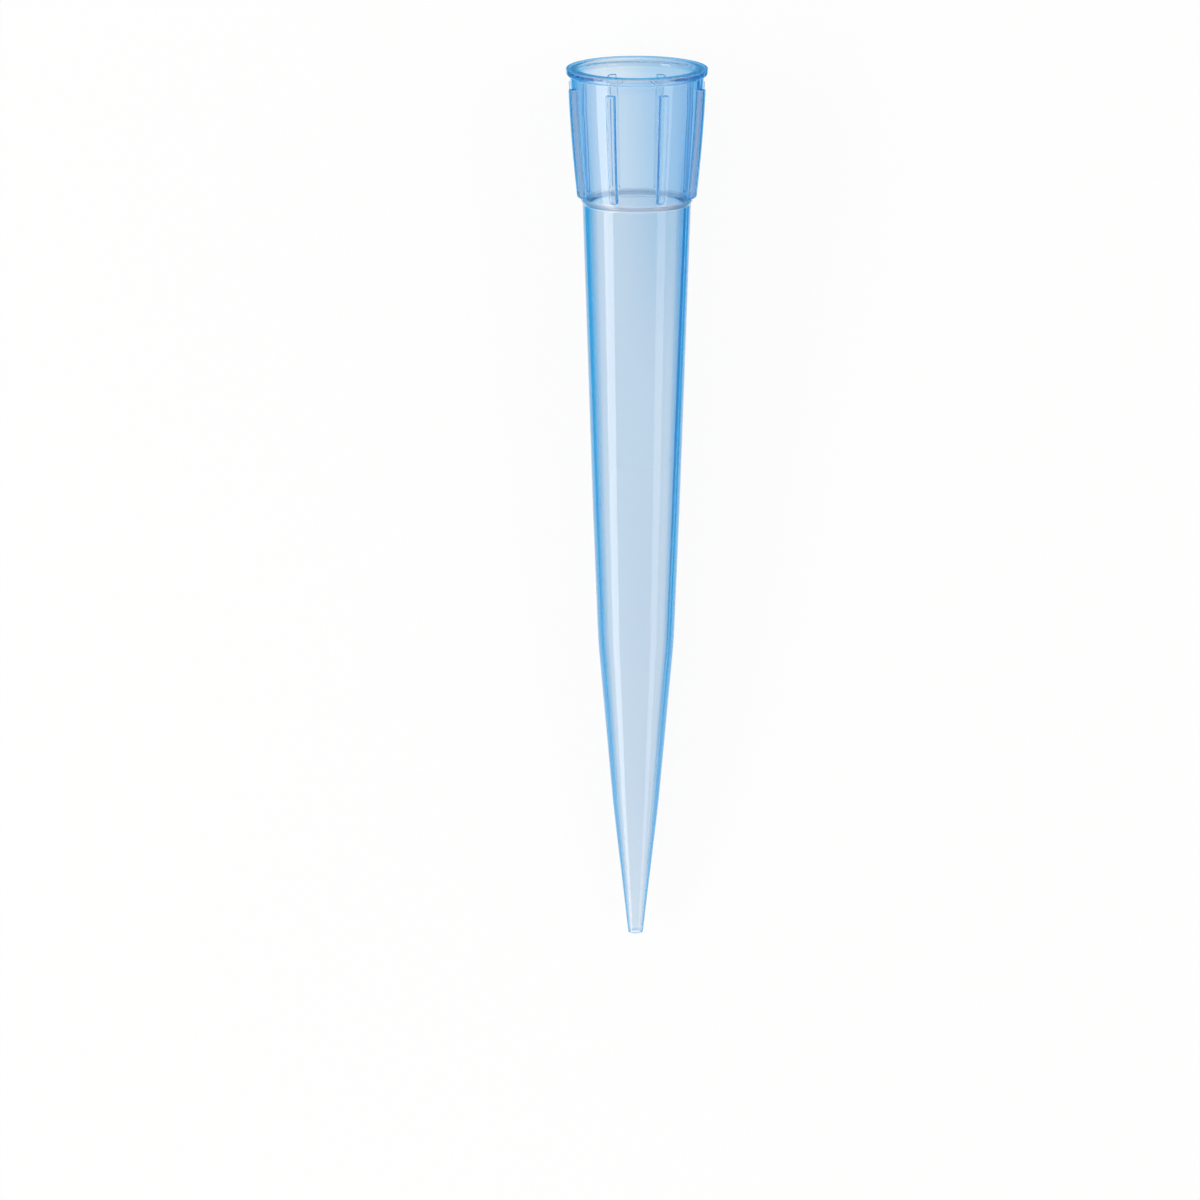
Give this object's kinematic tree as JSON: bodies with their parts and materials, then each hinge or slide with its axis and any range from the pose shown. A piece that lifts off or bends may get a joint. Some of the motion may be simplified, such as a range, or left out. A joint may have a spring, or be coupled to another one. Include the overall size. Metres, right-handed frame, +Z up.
{
  "type": "pipette tip",
  "caption": "Clear blue moulded pipette tip: a long tapering hollow cone with a ribbed, flanged collar whose bore pushes onto a pipette nozzle, lying on its side.",
  "frame": {"origin": "on the surface the tip lies on, under the middle of its length", "axes": "+Y runs the tip's length towards its mouth, +Z is up; the tip's own axis rises 3.13 degrees from level towards the mouth"},
  "size_m": [0.0102, 0.0652, 0.0102],
  "materials": {
    "clear_blue_polypropylene": "clear light-blue polypropylene, glossy, see-through"
  },
  "bodies": {
    "root": {"pipette_tip": "clear_blue_polypropylene"}
  },
  "joints": []
}
